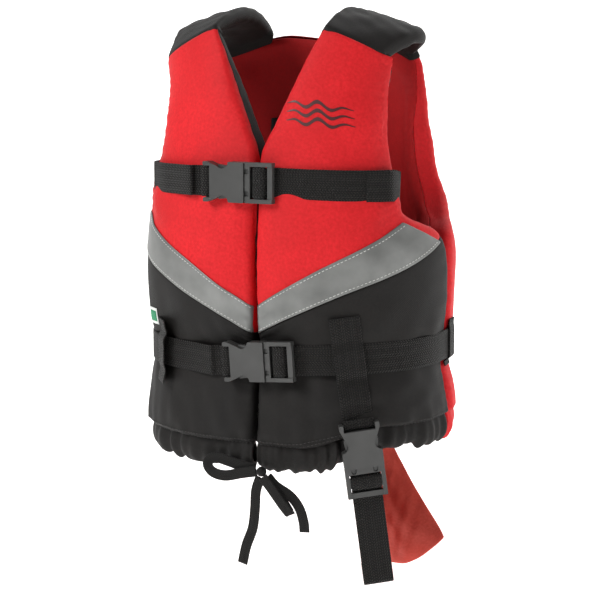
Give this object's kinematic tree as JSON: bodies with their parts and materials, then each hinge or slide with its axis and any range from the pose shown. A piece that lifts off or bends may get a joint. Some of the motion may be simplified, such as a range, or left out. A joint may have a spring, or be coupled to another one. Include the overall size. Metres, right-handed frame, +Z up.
{
  "type": "life jacket",
  "caption": "Sleeveless buoyancy vest for a small child: foam front and back panels, shoulder yokes, chest and waist straps with side-release buckles, and a crotch strap with flap.",
  "frame": {"origin": "on top of and midway between the shoulders, where the wearer carries the vest", "axes": "+Z up, -Y out of the vest's front, +X to the wearer's left"},
  "size_m": [0.2722, 0.1989, 0.4736],
  "materials": {
    "red_nylon": "matte",
    "red_lining": "matte",
    "black_nylon": "matte",
    "buoyancy_foam": "matte",
    "reflective_tape": "satin",
    "drawstring_tape": "matte",
    "webbing": "matte",
    "green_tag": "matte",
    "dark_print": "matte",
    "buckle_plastic": "satin"
  },
  "bodies": {
    "vest": {"front_left_foam": "buoyancy_foam", "front_right_foam": "buoyancy_foam", "back_foam": "buoyancy_foam", "front_left_upper_cover": "red_nylon", "front_right_upper_cover": "red_nylon", "front_left_lower_cover": "black_nylon", "front_right_lower_cover": "black_nylon", "front_left_lining": "black_nylon", "front_right_lining": "black_nylon", "back_cover": "red_nylon", "back_lining": "red_lining", "shoulder_left_cover": "black_nylon", "shoulder_right_cover": "black_nylon", "shoulder_left_pad": "buoyancy_foam", "shoulder_right_pad": "buoyancy_foam", "reflective_tape_left": "reflective_tape", "reflective_tape_right": "reflective_tape", "hem_left_casing": "black_nylon", "hem_right_casing": "black_nylon", "hem_back_casing": "red_nylon", "drawstring_run": "drawstring_tape", "drawstring_knot": "drawstring_tape", "drawstring_bow_right": "drawstring_tape", "drawstring_bow_left": "drawstring_tape", "drawstring_end_long": "drawstring_tape", "drawstring_end_short": "drawstring_tape", "chest_strap_right": "webbing", "chest_strap_left": "webbing", "waist_belt": "webbing", "belt_loop_right": "webbing", "belt_loop_left": "webbing", "crotch_strap_upper": "webbing", "crotch_strap_lower": "webbing", "crotch_flap": "red_nylon", "side_tag": "green_tag", "inner_label": "black_nylon", "chest_print": "dark_print", "chest_socket": "buckle_plastic", "waist_socket": "buckle_plastic", "crotch_socket": "buckle_plastic"},
    "chest_plug_body": {"chest_plug": "buckle_plastic"},
    "chest_latch_upper_body": {"chest_latch_upper": "buckle_plastic"},
    "chest_latch_lower_body": {"chest_latch_lower": "buckle_plastic"},
    "waist_plug_body": {"waist_plug": "buckle_plastic"},
    "waist_latch_upper_body": {"waist_latch_upper": "buckle_plastic"},
    "waist_latch_lower_body": {"waist_latch_lower": "buckle_plastic"},
    "crotch_plug_body": {"crotch_plug": "buckle_plastic"},
    "crotch_latch_left_body": {"crotch_latch_left": "buckle_plastic"},
    "crotch_latch_right_body": {"crotch_latch_right": "buckle_plastic"}
  },
  "joints": [
    {"name": "chest_buckle_release", "type": "slide", "parent": "vest", "child": "chest_plug_body", "axis": [1, 0, 0], "range_m": [0, 0.028], "deforming": ["chest_strap_left"]},
    {"name": "chest_latch_upper_flex", "type": "hinge", "parent": "chest_plug_body", "child": "chest_latch_upper_body", "pos_m": [-0.0024, -0.09575, -0.131], "axis": [0, -1, 0], "range_deg": [0, 9.7]},
    {"name": "chest_latch_lower_flex", "type": "hinge", "parent": "chest_plug_body", "child": "chest_latch_lower_body", "pos_m": [-0.0024, -0.09575, -0.149], "axis": [0, 1, 0], "range_deg": [0, 9.7]},
    {"name": "waist_buckle_release", "type": "slide", "parent": "vest", "child": "waist_plug_body", "axis": [0.9976, 0, 0.0698], "range_m": [0, 0.028], "deforming": ["waist_belt"]},
    {"name": "waist_latch_upper_flex", "type": "hinge", "parent": "waist_plug_body", "child": "waist_latch_upper_body", "pos_m": [0.01597, -0.09825, -0.27684], "axis": [0, -1, 0], "range_deg": [0, 9.7]},
    {"name": "waist_latch_lower_flex", "type": "hinge", "parent": "waist_plug_body", "child": "waist_latch_lower_body", "pos_m": [0.01722, -0.09825, -0.2948], "axis": [0, 1, 0], "range_deg": [0, 9.7]},
    {"name": "crotch_buckle_release", "type": "slide", "parent": "vest", "child": "crotch_plug_body", "axis": [0.1172, 0.065, -0.991], "range_m": [0, 0.028], "deforming": ["crotch_strap_lower", "crotch_flap"]},
    {"name": "crotch_latch_left_flex", "type": "hinge", "parent": "crotch_plug_body", "child": "crotch_latch_left_body", "pos_m": [0.10241, -0.07566, -0.37137], "axis": [0.4848, -0.8746, 0], "range_deg": [0, 9.7]},
    {"name": "crotch_latch_right_flex", "type": "hinge", "parent": "crotch_plug_body", "child": "crotch_latch_right_body", "pos_m": [0.08681, -0.08431, -0.37378], "axis": [-0.4848, 0.8746, 0], "range_deg": [0, 9.7]}
  ],
  "couplings": [
    {"joint": "chest_latch_upper_flex", "follows": "chest_buckle_release", "rad_per_m": 6},
    {"joint": "chest_latch_lower_flex", "follows": "chest_buckle_release", "rad_per_m": 6},
    {"joint": "waist_latch_upper_flex", "follows": "waist_buckle_release", "rad_per_m": 6},
    {"joint": "waist_latch_lower_flex", "follows": "waist_buckle_release", "rad_per_m": 6},
    {"joint": "crotch_latch_left_flex", "follows": "crotch_buckle_release", "rad_per_m": 6},
    {"joint": "crotch_latch_right_flex", "follows": "crotch_buckle_release", "rad_per_m": 6}
  ]
}
